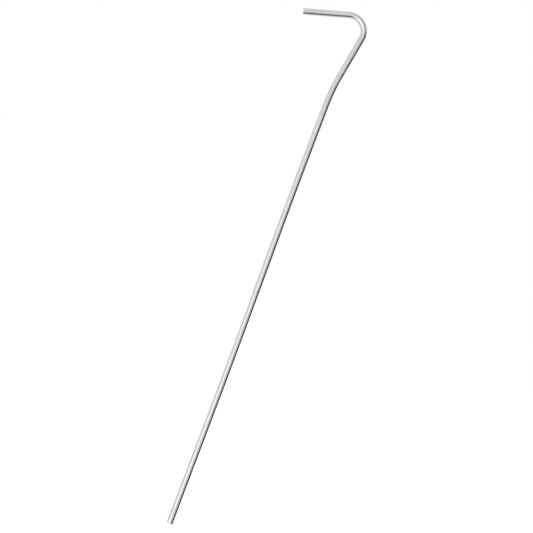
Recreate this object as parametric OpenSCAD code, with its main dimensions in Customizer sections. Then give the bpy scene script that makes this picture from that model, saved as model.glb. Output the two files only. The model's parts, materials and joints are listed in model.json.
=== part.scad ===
// Tent peg bent from one length of round steel wire.
//
// The peg stands upright: the straight shank runs down the Z axis and the hook is at the top.
// The origin is on the shank's axis at the ground line, where the straight shank ends and the
// shallow bend starts. The whole wire lies in the XZ plane, and the hook's arm points to -X.

/* [Wire] */
// Diameter of the round wire
wire_d = 3; // [2:0.1:6]
// How much thinner the wire is drawn where it is bent
bend_thinning = 0.02; // [0.02:0.01:0.1]
// Edge broken off round each sheared end
end_break = 0.25; // [0.1:0.05:0.6]

/* [Overall] */
// Height from the foot of the shank to the top of the hook
overall_len = 254; // [180:1:400]

/* [Shallow bend] */
// Radius of the shallow bend, to the middle of the wire
lean_r = 90; // [20:1:150]
// Angle by which the shallow bend leans the wire away from the shank's line
lean_angle = 10; // [2:0.5:20]

/* [Neck] */
// Straight length between the shallow bend and the hook
neck_len = 20; // [5:0.5:50]

/* [Hook] */
// Radius inside the hook, where the guy line sits
hook_inside_r = 6; // [4:0.25:17]
// Angle through which the hook turns the wire
hook_angle = 116; // [110:0.5:150]
// Straight length of the hook's arm, to its sheared end
arm_len = 21.5; // [8:0.5:60]

/* [Hidden] */

$fn = 64;

// How far each bend runs on inside the straight stretches on either side of it
bend_lap = 0.1;

// Radius of the hook to the middle of the wire
hook_r = hook_inside_r + wire_d / 2;

// Height that each stretch above the ground line climbs
lean_rise = lean_r * sin(lean_angle);
neck_rise = neck_len * cos(lean_angle);
crest_rise = hook_r * (1 + sin(lean_angle)) + (wire_d - bend_thinning) / 2;

// The rest of the height is the straight shank, which goes into the ground
shank_len = overall_len - lean_rise - neck_rise - crest_rise;

// A straight stretch of wire that starts at the origin and runs up +Z
module straight_wire(length) {
    cylinder(h = length, d = wire_d);
}

// The same, ending in a sheared face with its edge broken
module sheared_wire(length) {
    straight_wire(length - end_break);
    translate([0, 0, length - end_break])
        cylinder(h = end_break, d1 = wire_d, d2 = wire_d - 2 * end_break);
}

// A bend that starts at the origin heading up +Z, and curves towards -X
module bent_wire(radius, angle) {
    lap_angle = bend_lap / radius * 180 / PI;
    translate([-radius, 0, 0])
        rotate([90, 0, 0])
            rotate_extrude(start = -lap_angle, angle = angle + 2 * lap_angle)
                translate([radius, 0])
                    circle(d = wire_d - bend_thinning);
}

// Puts its children on the far end of such a bend, along the wire's new heading
module beyond_bend(radius, angle) {
    translate([-radius, 0, 0])
        rotate([0, -angle, 0])
            translate([radius, 0, 0])
                children();
}

// The straight shank, from the ground line down to its blunt foot
module shank() {
    mirror([0, 0, 1])
        sheared_wire(shank_len);
}

// The hook's bend and its arm, which the guy line is looped over
module hook() {
    bent_wire(hook_r, hook_angle);
    beyond_bend(hook_r, hook_angle)
        sheared_wire(arm_len);
}

// The shallow bend, the neck above it, and the hook, which curls back the other way
module leaning_top() {
    bent_wire(lean_r, lean_angle);
    beyond_bend(lean_r, lean_angle) {
        straight_wire(neck_len);
        translate([0, 0, neck_len])
            mirror([1, 0, 0])
                hook();
    }
}

// The whole peg is one piece: bright zinc-plated steel wire, cut, and bent twice
module peg_wire() {
    color("#c6c8c8")
        union() {
            shank();
            mirror([1, 0, 0])
                leaning_top();
        }
}

peg_wire();
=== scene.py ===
# %% [markdown]
# # A tent stake, bent from one steel wire
#
# The stake is one piece: a 3 mm steel wire that was drawn to size, cut to length, bent twice and
# plated with bright zinc. There is nothing to assemble, so the whole lesson is about one surface.
# It has to follow the bends, catch the light as plated metal does, and end in two believable cuts.
#
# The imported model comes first. It gives the sizes, the frame that everything is placed in, and the
# plain wire that the detailed one stands in for.

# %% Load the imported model
import json
import math
from collections import namedtuple

import bmesh
import bpy
from mathutils import Matrix, Vector, noise
from mathutils.geometry import intersect_line_line


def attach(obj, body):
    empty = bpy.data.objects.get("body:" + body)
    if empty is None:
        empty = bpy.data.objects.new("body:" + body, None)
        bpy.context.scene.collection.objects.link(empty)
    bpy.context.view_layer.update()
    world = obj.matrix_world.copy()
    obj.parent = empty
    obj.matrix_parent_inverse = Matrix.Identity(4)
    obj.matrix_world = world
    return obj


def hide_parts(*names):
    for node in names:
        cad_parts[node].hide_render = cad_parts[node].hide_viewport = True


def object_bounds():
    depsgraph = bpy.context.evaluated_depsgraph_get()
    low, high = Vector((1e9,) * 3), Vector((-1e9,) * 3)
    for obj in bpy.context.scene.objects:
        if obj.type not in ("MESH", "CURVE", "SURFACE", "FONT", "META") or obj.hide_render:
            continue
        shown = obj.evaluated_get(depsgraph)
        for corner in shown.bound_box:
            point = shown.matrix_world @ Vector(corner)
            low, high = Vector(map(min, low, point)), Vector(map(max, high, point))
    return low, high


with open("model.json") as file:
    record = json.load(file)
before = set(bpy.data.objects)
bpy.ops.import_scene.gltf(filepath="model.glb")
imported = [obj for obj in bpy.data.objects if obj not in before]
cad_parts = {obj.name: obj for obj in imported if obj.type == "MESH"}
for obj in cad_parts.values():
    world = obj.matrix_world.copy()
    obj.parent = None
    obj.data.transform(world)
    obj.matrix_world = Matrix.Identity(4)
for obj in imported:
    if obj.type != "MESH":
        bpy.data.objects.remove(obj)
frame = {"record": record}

cad_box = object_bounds()
scene = bpy.context.scene
print("CAD box in mm:", [[round(v * 1000, 2) for v in corner] for corner in cad_box])

# %% [markdown]
# ## Read the wire's sizes from its mounts
#
# A bent wire is fully described by its straight stretches and the arcs that join them. The packed
# record says where three of its features are: the shank, the hook's arm, and the seat inside the
# hook. The lengths, angles and radii between them could be typed in again, but then a change to the
# model would leave this script behind. A little geometry gives them instead.
#
# A heading is the angle from straight up (+Z) towards the side that the hook's arm points to (-X).

# %% Work out every stretch of the wire
MM = 0.001


def heading_of(direction):
    """The heading of a direction that lies in the wire's plane."""
    return math.atan2(-direction[0], direction[2])


mounts = {mount["name"]: mount for mount in frame["record"]["mounts"]}
shank, arm, seat = mounts["shank"], mounts["hook_arm"], mounts["hook_crook"]

wire_r = shank["dims"]["r_mm"] * MM
shank_len = shank["pos_m"][2] - cad_box[0].z
end_break = shank_len - shank["dims"]["length_mm"] * MM
arm_len = arm["dims"]["length_mm"] * MM + end_break

# The seat lies half way round the hook, so twice the angle from it to the arm is the whole bend.
arm_heading = heading_of(arm["axis"])
seat_heading = heading_of(seat["axis"]) - math.pi / 2
hook_angle = 2 * (arm_heading - seat_heading)
lean = hook_angle - arm_heading

# The seat's axis and a line square to the arm's start both run through the hook's centre.
arm_start, seat_at = Vector(arm["pos_m"]), Vector(seat["pos_m"])
arm_inward = Vector((-math.cos(arm_heading), 0, -math.sin(arm_heading)))
hook_centre = intersect_line_line(seat_at, seat_at + Vector(seat["axis"]),
                                  arm_start, arm_start + arm_inward)[0]
hook_r = (arm_start - hook_centre).length

# The neck's line runs down from the hook to the shank's line, and the shallow bend rounds the
# corner where they meet.
neck_top = hook_centre + Vector((math.cos(lean), 0, -math.sin(lean))) * hook_r
corner_height = neck_top.z - neck_top.x / math.tan(lean)
lean_r = corner_height / math.tan(lean / 2)
neck_len = neck_top.x / math.sin(lean) - corner_height

for what, metres in (("shank", shank_len), ("neck", neck_len), ("arm", arm_len),
                     ("shallow bend radius", lean_r), ("hook radius", hook_r)):
    print(f"{what}: {metres / MM:.2f} mm")
print(f"leans {math.degrees(lean):.2f} degrees, hooks back {math.degrees(hook_angle):.2f} degrees")

# %% [markdown]
# ## Walk along the wire
#
# Blender can sweep a circle along a curve, but a curve's bevel gives no say in how the section
# changes. Here the wire is walked from its foot to the end of its arm, and the walk stops at
# stations. Each station knows how far along the wire it is, where it is, which way it heads and how
# hard it is bent there, which is all that a section, an end or a pattern needs.
#
# Stations are close together in the bends, where the outline has to stay round, and at the cut
# ends, where the blade has pinched the wire. They are further apart on the straight, where only a
# faint ripple has to show. That ripple is real: the wire comes off a coil, and the rolls that
# straighten it leave a last trace of a wave behind.

# %% Stations along the wire
CUT_ZONE = 4.0 * MM
CUT_STEP = 0.25 * MM
SHANK_STEP = 2.0 * MM
HOOK_STEP = 0.5 * MM         # on the straight stretches either side of the hook
BEND_STEP = math.radians(2)
EASE = 3.0 * MM              # length over which a bend's strain comes in and goes out
RIPPLE = 0.16 * MM           # how far the ripple strays to either side
RIPPLE_WAVES = 1.2           # how many waves the shank holds
RIPPLE_LEAD = 9.5 * MM       # how far below the foot the wave would have started

# Each stretch is its length, the angle that it turns by, and the most that one step may cover.
# A positive turn is towards -X.
lean_len, hook_len = lean_r * lean, hook_r * hook_angle
STRETCHES = [
    (CUT_ZONE, 0.0, CUT_STEP),
    (shank_len - CUT_ZONE, 0.0, SHANK_STEP),
    (lean_len, -lean, lean_r * BEND_STEP / 2),
    (neck_len, 0.0, HOOK_STEP),
    (hook_len, hook_angle, hook_r * BEND_STEP),
    (arm_len - CUT_ZONE, 0.0, HOOK_STEP),
    (CUT_ZONE, 0.0, CUT_STEP),
]
wire_len = sum(length for length, turn, step in STRETCHES)
Station = namedtuple("Station", "distance place heading strain")


def smooth(share):
    """Eases from 0 to 1, and stays there on either side."""
    share = min(max(share, 0.0), 1.0)
    return share * share * (3 - 2 * share)


def ripple(distance):
    """How far the wire strays towards +X. It has died out at the end of the shallow bend."""
    left = smooth((shank_len + lean_len - distance) / lean_len)
    waves = RIPPLE_WAVES * (distance + RIPPLE_LEAD) / shank_len
    return -RIPPLE * left * math.cos(2 * math.pi * waves)


def strain_at(distance):
    """How much the bend stretches the wire's outer skin, easing in and out of each bend."""
    strain, start = 0.0, 0.0
    for length, turn, step in STRETCHES:
        into = smooth((distance - start) / EASE + 0.5)
        out_of = smooth((start + length - distance) / EASE + 0.5)
        strain += wire_r * turn / length * into * out_of
        start += length
    return strain


def walk():
    """Stations from the foot to the end of the arm."""
    found = []
    distance, place, heading = 0.0, Vector((0, 0, -shank_len)), 0.0
    for length, turn, most in STRETCHES:
        steps = math.ceil(length / most)
        length_step, turn_step = length / steps, turn / steps
        chord = length_step if turn == 0 else length / turn * 2 * math.sin(turn_step / 2)
        for _ in range(steps):
            strayed = place + Vector((ripple(distance), 0, 0))
            found.append(Station(distance, strayed, heading, strain_at(distance)))
            middle = heading + turn_step / 2
            place = place + Vector((-math.sin(middle), 0, math.cos(middle))) * chord
            heading += turn_step
            distance += length_step
    found.append(Station(distance, place, heading, 0.0))
    return found


stations = walk()
print(f"{len(stations)} stations on {wire_len / MM:.1f} mm of wire")

# %% [markdown]
# ## Give the wire its section
#
# A drawn wire is round, but bending squashes it a little: it gets thinner across the bend and
# fatter square to it. The squash grows with the strain, so the tight hook shows it and the shallow
# bend hardly does.
#
# The shears change the section too. Before the blade cuts, it presses the wire in on its own side,
# and that pinch reaches about a millimetre up from the end. It is small, but it is what tells the
# eye that the wire was cut and not modelled.
#
# Every point comes with its place on the wire as it was before bending. Patterns that were made
# while the wire was straight, such as the lines that the drawing die left, can then follow it.

# %% Rings of points round the wire
SIDES = 64
SQUASH = 0.12                # share of the bend's strain that goes into the section's shape
PINCH = 0.09 * MM            # how far the blade pressed the wire in at the very end
PINCH_REACH = 0.9 * MM       # how far from the end the pinch has faded to a third

# The blade's side is an angle round the wire, outward is the way along it that the face looks.
Cut = namedtuple("Cut", "distance outward blade_side seed")
FOOT_CUT = Cut(distance=0.0, outward=-1, blade_side=math.radians(35), seed=3.1)
ARM_CUT = Cut(distance=wire_len, outward=1, blade_side=math.radians(115), seed=8.7)


def pinch(distance, angle):
    """How much nearer to the axis the blades pressed the wall."""
    depth = 0.0
    for cut in (FOOT_CUT, ARM_CUT):
        facing = max(math.cos(angle - cut.blade_side), 0.0)
        depth += PINCH * facing ** 2 * math.exp(-abs(distance - cut.distance) / PINCH_REACH)
    return depth


def section(station, shape, push=None):
    """One ring: (point, its place on the straight wire) for each side. For an angle round the wire,
    shape gives the point's reach from the axis and its distance from the foot."""
    inward = Vector((-math.cos(station.heading), 0, -math.sin(station.heading)))
    forward = Vector((-math.sin(station.heading), 0, math.cos(station.heading)))
    thin = 1 - SQUASH * abs(station.strain)
    ring = []
    for side in range(SIDES):
        angle = 2 * math.pi * side / SIDES
        reach, distance = shape(angle)
        reach -= pinch(distance, angle) * reach / wire_r
        x, y = reach * math.cos(angle), reach * math.sin(angle)
        distance += push(x, y) if push else 0.0
        point = (station.place + inward * (x * thin) + Vector((0, y / thin, 0))
                 + forward * (distance - station.distance))
        ring.append((point, (x, y, distance)))
    return ring


hook_strain = wire_r / hook_r
print(f"{SIDES} sides; the hook's skin is stretched by {hook_strain:.0%}, and its section is "
      f"squashed by {SQUASH * hook_strain:.1%}")

# %% [markdown]
# ## Shear the ends
#
# Both ends were cut with a shear, not sawn or turned. The blade first drags the edge over, then
# cuts a smooth band, and then the rest tears away and drops a little, with a fine lip on the far
# side. The face is also a degree or two askew. A flat cap would look like a computer's idea of a
# wire, so each end gets a rolled edge and a face of its own, made as real relief in the mesh.

# %% Rings over a sheared end
ROLL_RINGS = 6
FACE_RINGS = 14
FACE_TILT = math.radians(2)
TEAR_STARTS = -0.25          # where the tear starts: -1 is the blade's side, 1 the far side
TEAR_BLEND = 0.15            # width of the border between cut and torn, as a share of the radius
TEAR_DROP = 0.07 * MM
TEAR_GRAIN = 0.30 * MM       # size of the lumps in the torn part
TEAR_ROUGH = 0.035 * MM
CUT_ROUGH = 0.006 * MM
WANDER = 0.8 * MM            # length of the waves in the border
LIP = 0.06 * MM
LIP_POWER = 8                # the higher, the closer the lip keeps to the far side's edge
SHARP_SIDE = 0.4             # the far side's rolled edge, as a share of the blade side's


def across_cut(x, y, cut):
    """Where a point of the face lies: -1 at the blade's side, 1 at the far side."""
    return -(x * math.cos(cut.blade_side) + y * math.sin(cut.blade_side)) / wire_r


def torn_share(x, y, cut):
    """0 where the blade cut the steel, 1 where it tore. The border between them wanders."""
    wander = TEAR_BLEND * noise.noise(Vector((x, y, 0)) / WANDER + Vector((0, 0, cut.seed)))
    return smooth((across_cut(x, y, cut) - TEAR_STARTS + wander) / TEAR_BLEND)


def relief(x, y, cut):
    """How far the sheared face stands proud of a flat one."""
    across = across_cut(x, y, cut)
    torn = torn_share(x, y, cut)
    lumps = noise.noise(Vector((x, y, 0)) / TEAR_GRAIN + Vector((0, 0, cut.seed)))
    lip = LIP * max(across, 0.0) ** LIP_POWER
    rough = CUT_ROUGH + (TEAR_ROUGH - CUT_ROUGH) * torn
    return math.tan(FACE_TILT) * across * wire_r - TEAR_DROP * torn + rough * lumps + lip


def end_rings(station, cut):
    """Rings from the wall over the rolled edge towards the middle of the face."""
    def roll(angle):
        """Size of the rolled edge: all of the break at the blade's side, and less beyond."""
        return end_break * (SHARP_SIDE + (1 - SHARP_SIDE) * (1 + math.cos(angle - cut.blade_side)) / 2)

    made = []
    for step in range(1, ROLL_RINGS + 1):
        turn = math.pi / 2 * step / ROLL_RINGS
        inset, back = 1 - math.cos(turn), cut.outward * (1 - math.sin(turn))
        share = smooth(step / ROLL_RINGS)
        made.append(section(
            station, lambda angle: (wire_r - roll(angle) * inset, cut.distance - roll(angle) * back),
            lambda x, y: cut.outward * share * relief(x, y, cut)))
    for step in range(1, FACE_RINGS + 1):
        share = 1 - step / FACE_RINGS
        made.append(section(station, lambda angle: ((wire_r - roll(angle)) * share, cut.distance),
                            lambda x, y: cut.outward * relief(x, y, cut)))
    return made


foot_rings = end_rings(stations[0], FOOT_CUT)
arm_rings = end_rings(stations[-1], ARM_CUT)
print(f"{len(foot_rings)} rings to each end; the faces drop by {TEAR_DROP / MM:.2f} mm where they tore")

# %% [markdown]
# ## Join the rings into one skin
#
# The rings are joined with four-sided faces from one sheared face, along the wall and on to the
# other one, so the mesh is a single closed skin. Three attributes go with every point, for the
# finishes to read:
#
# - `straight_wire` is the point's place on the wire before it was bent.
# - `strain` says how much the bend stretched the skin there, negative where it was squeezed.
# - `cut_place` is the point's place on a sheared face: how far along the blade's way, how far to
#   the side of it, and 0 where the steel was cut or 1 where it tore.

# %% Points of the skin
skin = bmesh.new()
straight_layer = skin.verts.layers.float_vector.new("straight_wire")
strain_layer = skin.verts.layers.float.new("strain")
cut_layer = skin.verts.layers.float_vector.new("cut_place")


def add_vert(point, on_straight, bend_strain):
    """One point of the skin, with what the finishes need to know about it."""
    vert = skin.verts.new(point)
    x, y, distance = on_straight
    cut = FOOT_CUT if distance < wire_len / 2 else ARM_CUT
    to_side = x * math.sin(cut.blade_side) - y * math.cos(cut.blade_side)
    vert[straight_layer] = on_straight
    vert[strain_layer] = -bend_strain * x / wire_r
    vert[cut_layer] = (across_cut(x, y, cut) * wire_r, to_side, torn_share(x, y, cut))
    return vert


# The wall starts and ends where the rolled edges do. The first and the last station move there,
# and stations that would crowd them are left out.
wall_start, wall_end = end_break, wire_len - end_break
wall = [(section(station, lambda angle: (wire_r, station.distance)), station.strain)
        for station in stations
        if wall_start + CUT_STEP / 2 < station.distance < wall_end - CUT_STEP / 2]
wall.insert(0, (section(stations[0], lambda angle: (wire_r, wall_start)), 0.0))
wall.append((section(stations[-1], lambda angle: (wire_r, wall_end)), 0.0))

# The innermost ring of each face has shrunk to a point, which stands for the whole ring.
foot_middle, arm_middle = foot_rings.pop()[0], arm_rings.pop()[0]
rings = [(ring, 0.0) for ring in foot_rings[::-1]] + wall + [(ring, 0.0) for ring in arm_rings]
rows = [[add_vert(point, on_straight, bend_strain) for point, on_straight in ring]
        for ring, bend_strain in rings]
print(f"{len(rows)} rows of {SIDES} points")

# %% Faces of the skin
ZINC, STEEL = 0, 1

# The first and last rows lie on the sheared faces, so the bands between them show bare steel.
for band, (near, far) in enumerate(zip(rows, rows[1:])):
    sheared = band < FACE_RINGS - 1 or band >= len(rows) - FACE_RINGS
    for side in range(SIDES):
        face = skin.faces.new((near[side], near[side - 1], far[side - 1], far[side]))
        face.material_index = STEEL if sheared else ZINC

for row, middle_point in ((rows[0], foot_middle), (rows[-1], arm_middle)):
    middle = add_vert(*middle_point, 0.0)
    for side in range(SIDES):
        face = skin.faces.new((row[side], row[side - 1], middle))
        face.material_index = STEEL

bmesh.ops.recalc_face_normals(skin, faces=skin.faces)
for face in skin.faces:
    face.smooth = True

wire_mesh = bpy.data.meshes.new("bent_wire")
skin.to_mesh(wire_mesh)
skin.free()
wire = bpy.data.objects.new("bent_wire", wire_mesh)
scene.collection.objects.link(wire)
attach(wire, "root")
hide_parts("peg_wire")
print(f"{len(wire_mesh.vertices)} points, {len(wire_mesh.polygons)} faces")

# %% [markdown]
# ## Helpers for the finishes
#
# Finishes are built from nodes, and a long list of nodes is hard to read. One function adds a node
# of any kind with its settings, and links or sets its inputs, so a finish reads from top to bottom.
# Colours are written as they look on a screen, and one function turns them into the linear values
# that Blender works in.

# %% Colour and node helpers


def colour(hex_code):
    """An sRGB hex colour as the linear colour that Blender's sockets take."""
    srgb = [int(hex_code[i:i + 2], 16) / 255 for i in (1, 3, 5)]
    linear = [v / 12.92 if v <= 0.04045 else ((v + 0.055) / 1.055) ** 2.4 for v in srgb]
    return (*linear, 1.0)


def add(tree, kind, inputs=None, output=0, **settings):
    """Adds a node and returns one of its outputs. An input is a value or an output to link."""
    made = tree.nodes.new(kind)
    for name, value in settings.items():
        setattr(made, name, value)
    for name, value in (inputs or {}).items():
        if isinstance(value, bpy.types.NodeSocket):
            tree.links.new(value, made.inputs[name])
        else:
            made.inputs[name].default_value = value
    return made.outputs[output] if len(made.outputs) else made


def empty_material(name, mesh):
    """A material with an empty node tree, given to the mesh."""
    material = bpy.data.materials.new(name)
    material.use_nodes = True
    material.node_tree.nodes.clear()
    mesh.materials.append(material)
    return material


WHITE = colour("#FFFFFF")
print("middle grey #808080 is linear", [round(v, 3) for v in colour("#808080")[:3]])

# %% [markdown]
# ## Bright zinc plate
#
# The finish is electroplated zinc with a clear passivation, on cold drawn wire. What that gives the
# eye is a neutral, light grey metal, less sharp than chrome: it mirrors light and dark softly, so a
# round wire shows as long bands of tone. Roughness of 0.2 to 0.3 is typical of it.
#
# Under that lie the traces of how it was made. The die leaves fine lines along the wire, which the
# plating follows. The zinc grows unevenly, so there are clouds a few millimetres across in its
# tone and gloss. Where the hook stretched the skin, the finish turns matt, with fine cracks across
# the wire, and its tone is drawn a touch warm: that warmth is a painted warm reflection, not a
# colour of the zinc. Handling adds a few short scratches.
#
# All the patterns are laid out on the straight wire, so they run round both bends with it.

# %% Marks on the zinc
zinc = empty_material("bright_zinc_plate", wire_mesh)
zinc_tree = zinc.node_tree

# Each size is across the wire and along it.
DIE_LINE = (0.14 * MM, 60 * MM)      # real ones are nearer 0.05 mm wide
STREAK = (0.7 * MM, 45 * MM)         # bundles of die lines, wide enough to see from afar
CLOUD = (5.0 * MM, 5.0 * MM)
PEEL = (0.35 * MM, 0.35 * MM)        # ripples in the plate's own surface
CRACK = (0.9 * MM, 0.09 * MM)
SCRATCH = (0.10 * MM, 2.2 * MM)
SCRATCH_SLANT = math.radians(35)
STRAIN_SHOWS = 0.3 * hook_strain     # the least strain that changes the finish

on_wire = add(zinc_tree, "ShaderNodeAttribute", attribute_name="straight_wire", output="Vector")
strain = add(zinc_tree, "ShaderNodeAttribute", attribute_name="strain", output="Fac")


def marks(size, begins, full, detail=2.0, slant=0.0):
    """Marks on the straight wire, 0 between them and 1 on them. They are noise, which runs from
    0 to 1 and is mostly near 0.5: a mark begins at one level of it and is full at another."""
    turned = add(zinc_tree, "ShaderNodeVectorRotate", {"Vector": on_wire, "Angle": slant},
                 rotation_type="Y_AXIS")
    scaled = add(zinc_tree, "ShaderNodeVectorMath",
                 {0: turned, 1: (1 / size[0], 1 / size[0], 1 / size[1])}, operation="MULTIPLY")
    level = add(zinc_tree, "ShaderNodeTexNoise", {"Vector": scaled, "Scale": 1.0, "Detail": detail})
    return add(zinc_tree, "ShaderNodeMapRange", {"Value": level, "From Min": begins, "From Max": full},
               interpolation_type="SMOOTHSTEP")


die_lines = marks(DIE_LINE, begins=0.25, full=0.75)
streaks = marks(STREAK, begins=0.35, full=0.65)
clouds = marks(CLOUD, begins=0.35, full=0.65, detail=3.0)
peel = marks(PEEL, begins=0.25, full=0.75)
scratches = marks(SCRATCH, begins=0.77, full=0.84, detail=0.0, slant=SCRATCH_SLANT)
stretched = add(zinc_tree, "ShaderNodeMapRange",
                {"Value": strain, "From Min": STRAIN_SHOWS, "From Max": hook_strain},
                interpolation_type="SMOOTHSTEP")
cracks = add(zinc_tree, "ShaderNodeMath", {0: marks(CRACK, begins=0.56, full=0.70), 1: stretched},
             operation="MULTIPLY")
print(f"die lines every {DIE_LINE[0] / MM} mm, clouds {CLOUD[0] / MM} mm across, "
      f"cracks from {STRAIN_SHOWS:.0%} strain")

# %% Tone of the zinc
ZINC_GREY, CLOUD_GREY = "#C7C9CA", "#CECFCF"

# Each mark draws the tone towards a tint of its own, as far as its strength says. The warm tint
# where the hook is stretched is a painted warm reflection, not a colour of the zinc.
tone = colour(ZINC_GREY)
for mark, strength, tint in ((clouds, 1.0, CLOUD_GREY),
                             (stretched, 0.5, "#C4C0B6"),
                             (scratches, 0.3, "#E2E3E3")):
    share = add(zinc_tree, "ShaderNodeMath", {0: mark, 1: strength}, operation="MULTIPLY")
    tone = add(zinc_tree, "ShaderNodeMix", {0: share, 6: tone, 7: colour(tint)},
               data_type="RGBA", output=2)
print(f"from cloud to cloud the zinc goes from {ZINC_GREY} to {CLOUD_GREY}")

# %% Gloss and relief of the zinc
RELIEF = 0.010 * MM          # height of a mark whose rise is 1
SMOOTHEST = 0.20             # roughness between the marks

# Each mark adds to the roughness, or raises the surface, or sinks into it.
gloss = SMOOTHEST
for mark, duller in ((streaks, 0.05), (clouds, 0.04), (stretched, 0.08)):
    gloss = add(zinc_tree, "ShaderNodeMath", {0: mark, 1: duller, 2: gloss},
                operation="MULTIPLY_ADD")

height = 0.0
for mark, rise in ((die_lines, 0.3), (peel, 0.15), (cracks, -0.5), (scratches, -0.35)):
    height = add(zinc_tree, "ShaderNodeMath", {0: mark, 1: rise, 2: height},
                 operation="MULTIPLY_ADD")

surface = add(zinc_tree, "ShaderNodeBump", {"Height": height, "Strength": 1.0, "Distance": RELIEF})
shader = add(zinc_tree, "ShaderNodeBsdfPrincipled",
             {"Base Color": tone, "Metallic": 1.0, "Roughness": gloss, "Normal": surface})
add(zinc_tree, "ShaderNodeOutputMaterial", {"Surface": shader})
print(f"{zinc.name}: {len(zinc_tree.nodes)} nodes")

# %% [markdown]
# ## Bare steel on the sheared faces
#
# Wire like this is plated before it is cut, so the two end faces show low-carbon steel. The part
# that the blade cut is burnished, and the part that tore is dull and grainy. Steel is darker than
# zinc and a little warmer. The mesh already has the lumps of the tear, so the nodes only add what
# is finer than its rings: drag lines on the cut part and grain on the torn part.

# %% Cut and torn steel
steel = empty_material("sheared_bare_steel", wire_mesh)
steel_tree = steel.node_tree

DRAG_LINE = (0.7 * MM, 0.05 * MM)    # length and width of the blade's drag lines
STEEL_GRAIN = 0.06 * MM
STEEL_RELIEF = 0.015 * MM
BURNISHED, DULL = 0.26, 0.50         # roughness where the blade cut and where the steel tore
PIT_SHADE = 0.35                     # how much of the pits' dark tone a full pit takes

on_cut = add(steel_tree, "ShaderNodeAttribute", attribute_name="cut_place", output="Vector")
torn = add(steel_tree, "ShaderNodeSeparateXYZ", {0: on_cut}, output="Z")
drag_at = add(steel_tree, "ShaderNodeVectorMath",
              {0: on_cut, 1: (1 / DRAG_LINE[0], 1 / DRAG_LINE[1], 0.0)}, operation="MULTIPLY")
drag_lines = add(steel_tree, "ShaderNodeTexNoise", {"Vector": drag_at, "Scale": 1.0, "Detail": 2.0})
grain = add(steel_tree, "ShaderNodeTexNoise",
            {"Vector": on_cut, "Scale": 1 / STEEL_GRAIN, "Detail": 4.0})
pits = add(steel_tree, "ShaderNodeMapRange",
           {"Value": grain, "From Min": 0.35, "From Max": 0.70, "To Max": PIT_SHADE},
           interpolation_type="SMOOTHSTEP")

tone = add(steel_tree, "ShaderNodeMix", {0: torn, 6: colour("#B0AFAD"), 7: colour("#8B8986")},
           data_type="RGBA", output=2)
tone = add(steel_tree, "ShaderNodeMix", {0: pits, 6: tone, 7: colour("#6E6B68")},
           data_type="RGBA", output=2)
gloss = add(steel_tree, "ShaderNodeMix", {0: torn, 2: BURNISHED, 3: DULL}, data_type="FLOAT")
height = add(steel_tree, "ShaderNodeMix", {0: torn, 2: drag_lines, 3: grain}, data_type="FLOAT")
surface = add(steel_tree, "ShaderNodeBump",
              {"Height": height, "Strength": 1.0, "Distance": STEEL_RELIEF})
shader = add(steel_tree, "ShaderNodeBsdfPrincipled",
             {"Base Color": tone, "Metallic": 1.0, "Roughness": gloss, "Normal": surface})
add(steel_tree, "ShaderNodeOutputMaterial", {"Surface": shader})
print(f"{steel.name}: {len(steel_tree.nodes)} nodes")

# %% [markdown]
# ## The table
#
# The stake is shown against a plain white ground that fades into its surroundings. A large sheet of
# matt white card lies at the foot's height. Pressed paper scatters light evenly, so the eye sees no
# gloss on it, only a faint mottle of fibres. A little light of its own lifts it to pure white, as
# overexposing a white table does.

# %% White card
CARD_HALF = 6.0              # metres
CARD_ROUGHNESS = 0.9
CARD_GLOW = 0.35             # the light of its own
FIBRE = 0.8 * MM             # real fibres are far finer

foot_height = cad_box[0].z
card_mesh = bpy.data.meshes.new("white_card")
card_mesh.from_pydata([(x * CARD_HALF, y * CARD_HALF, foot_height)
                       for x, y in ((-1, -1), (1, -1), (1, 1), (-1, 1))], [], [(0, 1, 2, 3)])
card = bpy.data.objects.new("white_card", card_mesh)
scene.collection.objects.link(card)

card_tree = empty_material("matt_white_card", card_mesh).node_tree
on_card = add(card_tree, "ShaderNodeTexCoord", output="Object")
fibres = add(card_tree, "ShaderNodeTexNoise",
             {"Vector": on_card, "Scale": 1 / FIBRE, "Detail": 3.0})
tone = add(card_tree, "ShaderNodeMix", {0: fibres, 6: colour("#F2F2F2"), 7: colour("#F8F8F8")},
           data_type="RGBA", output=2)
shader = add(card_tree, "ShaderNodeBsdfPrincipled",
             {"Base Color": tone, "Roughness": CARD_ROUGHNESS, "Emission Color": WHITE,
              "Emission Strength": CARD_GLOW})
add(card_tree, "ShaderNodeOutputMaterial", {"Surface": shader})

# The wire should mirror the tent's lower half, not this card, so glossy rays pass it by.
card.visible_glossy = False
print(f"card at {foot_height / MM:.1f} mm, {2 * CARD_HALF:.0f} m wide")

# %% [markdown]
# ## The camera
#
# The camera looks square onto the wire's plane, and is rolled so that the shank leans to the right
# in the picture. A long lens keeps the wire's thickness even from foot to hook. The distance follows
# from how much of the picture's height the stake fills.

# %% Aim the camera
LENS = 100.0                 # millimetres
CLIP_END = 50.0              # metres, well beyond the card's corners
ROLL = math.radians(20.45)
FILL = 0.9678                # share of the picture that the stake's height fills
OFF_RIGHT = 0.0007           # how far it sits right of the middle, as a share of the picture
OFF_UP = 0.0007              # and how far above the middle

camera_turn = Matrix.Rotation(math.pi / 2, 3, "X") @ Matrix.Rotation(ROLL, 3, "Z")
right, up, towards_camera = (camera_turn.col[i] for i in range(3))


def edges_along(axis):
    """The stake's lowest and highest point along an axis."""
    along = [vert.co.dot(axis) for vert in wire_mesh.vertices]
    return min(along), max(along)


left_edge, right_edge = edges_along(right)
bottom_edge, top_edge = edges_along(up)
view = (top_edge - bottom_edge) / FILL
aim = (right * ((left_edge + right_edge) / 2 - OFF_RIGHT * view)
       + up * ((bottom_edge + top_edge) / 2 - OFF_UP * view))

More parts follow.
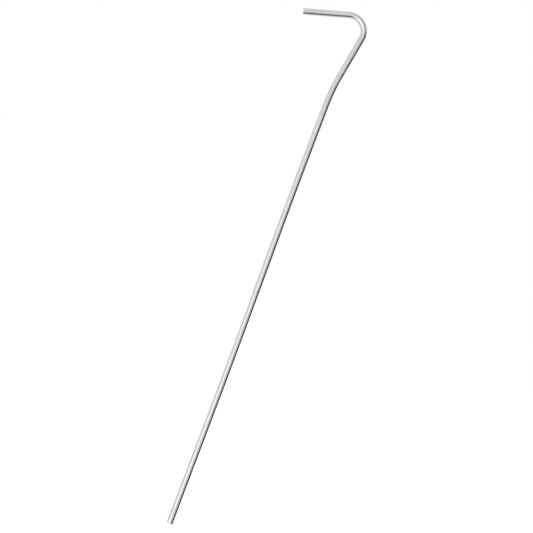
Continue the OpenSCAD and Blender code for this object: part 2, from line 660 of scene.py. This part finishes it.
camera_data = bpy.data.cameras.new("camera")
camera_data.lens = LENS
camera_data.clip_end = CLIP_END
camera_away = view * LENS / camera_data.sensor_width
camera = bpy.data.objects.new("camera", camera_data)
camera.matrix_world = Matrix.Translation(aim + towards_camera * camera_away) @ camera_turn.to_4x4()
scene.collection.objects.link(camera)
scene.camera = camera
scene.view_settings.view_transform = "Standard"     # keeps white at pure white
print(f"camera {camera_away:.2f} m away, view {view / MM:.0f} mm high")

# %% [markdown]
# ## A light tent
#
# Shiny metal has no look of its own: it shows what stands round it. Small parts are therefore lit
# inside a tent of white cloth, so that the whole wire mirrors soft white. A tent alone gives a flat
# grey shape, though. What draws the roundness of the wire is a gap in the cloth at the right and
# below, which shows as one dark line along it, and a brighter panel at the left of the camera,
# which shows as a pale one. A little shade behind the wire sharpens its left edge.
#
# Real panels would get in the way when the stake is looked at from another side, so the tent is
# painted on the world by direction. The front is where the camera stands, towards -Y. Two angles
# place most things: how far a direction is off the front, and which way round the front it lies,
# from 0 at the right to 90 above and -90 below. The panel is placed by its angles to the left and
# up.

# %% Measure directions in the tent
world = bpy.data.worlds.new("light_tent")
world.use_nodes = True
scene.world = world
tent_tree = world.node_tree
tent_tree.nodes.clear()

towards = add(tent_tree, "ShaderNodeTexCoord", output="Generated")
to_right, to_back, upwards = (add(tent_tree, "ShaderNodeSeparateXYZ", {0: towards}, output=part)
                              for part in "XYZ")
leftwards, to_front = (add(tent_tree, "ShaderNodeMath", {0: part, 1: -1.0}, operation="MULTIPLY")
                       for part in (to_right, to_back))

off_front = add(tent_tree, "ShaderNodeMath", {0: to_front}, operation="ARCCOSINE")
way_round = add(tent_tree, "ShaderNodeMath", {0: upwards, 1: to_right}, operation="ARCTAN2")
angle_left = add(tent_tree, "ShaderNodeMath", {0: leftwards, 1: to_front}, operation="ARCTAN2")
angle_up = add(tent_tree, "ShaderNodeMath", {0: upwards}, operation="ARCSINE")


def window(angle, rise, fall):
    """1 between two pairs of degrees and 0 outside them. It eases up over rise, down over fall."""
    slopes = [add(tent_tree, "ShaderNodeMapRange",
                  {"Value": angle, "From Min": math.radians(start), "From Max": math.radians(end),
                   "To Min": level, "To Max": 1.0 - level}, interpolation_type="SMOOTHSTEP")
              for (start, end), level in ((rise, 0.0), (fall, 1.0))]
    return add(tent_tree, "ShaderNodeMath", {0: slopes[0], 1: slopes[1]}, operation="MULTIPLY")


print(f"{len(tent_tree.nodes)} nodes measure directions")

# %% Paint the cloth
CLOTH = 1.05                 # how brightly the cloth glows
DIM = 0.38                   # how much it loses at its dimmest
SHADE = 0.45                 # and what it loses in the shade behind
FROM_START = (-200, -190)    # a rise before any angle, and a fall after any
TO_END = (190, 200)

# The cloth turns a little greyer on the right, where it is further from the lamps.
dim = add(tent_tree, "ShaderNodeMath", {0: window(way_round, (-105, -15), (35, 125)),
                                        1: window(off_front, (8, 62), TO_END)}, operation="MULTIPLY")
cloth = add(tent_tree, "ShaderNodeMath", {0: dim, 1: -DIM, 2: CLOTH}, operation="MULTIPLY_ADD")

# Low down behind the wire, on its left, the cloth is in shade.
low = window(angle_up, (-40, -20), (-8, 8))
shade = add(tent_tree, "ShaderNodeMath", {0: window(angle_left, (115, 145), (170, 179)), 1: low},
            operation="MULTIPLY")
cloth = add(tent_tree, "ShaderNodeMath", {0: shade, 1: -SHADE, 2: cloth}, operation="MULTIPLY_ADD")
print(f"the cloth glows at {CLOTH}, and at {CLOTH - DIM:.2f} where it is dimmest on the right")

# %% Open the gap
GAP, GAP_BELOW = 0.02, 0.18  # what shows through the gap at the right, and below
GAP_NEARER = 27              # degrees by which the gap runs nearer to the front below the wire
GAP_FURTHER = 8              # and further from it low on the right
GAP_OPENS, GAP_CLOSES = (50, 68), (112, 130)

below = window(way_round, FROM_START, (-75, -15))
gap_place = add(tent_tree, "ShaderNodeMath", {0: below, 1: math.radians(GAP_NEARER), 2: off_front},
                operation="MULTIPLY_ADD")
gap_place = add(tent_tree, "ShaderNodeMath", {0: low, 1: -math.radians(GAP_FURTHER), 2: gap_place},
                operation="MULTIPLY_ADD")
gap = add(tent_tree, "ShaderNodeMath", {0: window(gap_place, GAP_OPENS, GAP_CLOSES),
                                        1: window(way_round, (-105, -80), (21, 28))},
          operation="MULTIPLY")
through_gap = add(tent_tree, "ShaderNodeMix", {0: below, 2: GAP, 3: GAP_BELOW}, data_type="FLOAT")
glow = add(tent_tree, "ShaderNodeMix", {0: gap, 2: cloth, 3: through_gap}, data_type="FLOAT")
print(f"the gap runs from {GAP_OPENS[0]} to {GAP_CLOSES[1]} degrees off the front")

# %% Light the panel and close the tent
PANEL = 1.20                 # how much brighter than the cloth the panel is

panel = add(tent_tree, "ShaderNodeMath", {0: window(angle_left, (-4, 14), (26, 52)),
                                          1: window(angle_up, (-45, -30), (-9, 12))},
            operation="MULTIPLY")
glow = add(tent_tree, "ShaderNodeMath", {0: panel, 1: PANEL, 2: glow}, operation="MULTIPLY_ADD")

# The camera itself sees plain white.
tent = add(tent_tree, "ShaderNodeBackground", {"Color": WHITE, "Strength": glow})
plain = add(tent_tree, "ShaderNodeBackground", {"Color": WHITE, "Strength": 1.0})
seen = add(tent_tree, "ShaderNodeLightPath", output="Is Camera Ray")
either = add(tent_tree, "ShaderNodeMixShader", {0: seen, 1: tent, 2: plain})
add(tent_tree, "ShaderNodeOutputWorld", {"Surface": either})
print(f"{world.name}: {len(tent_tree.nodes)} nodes")
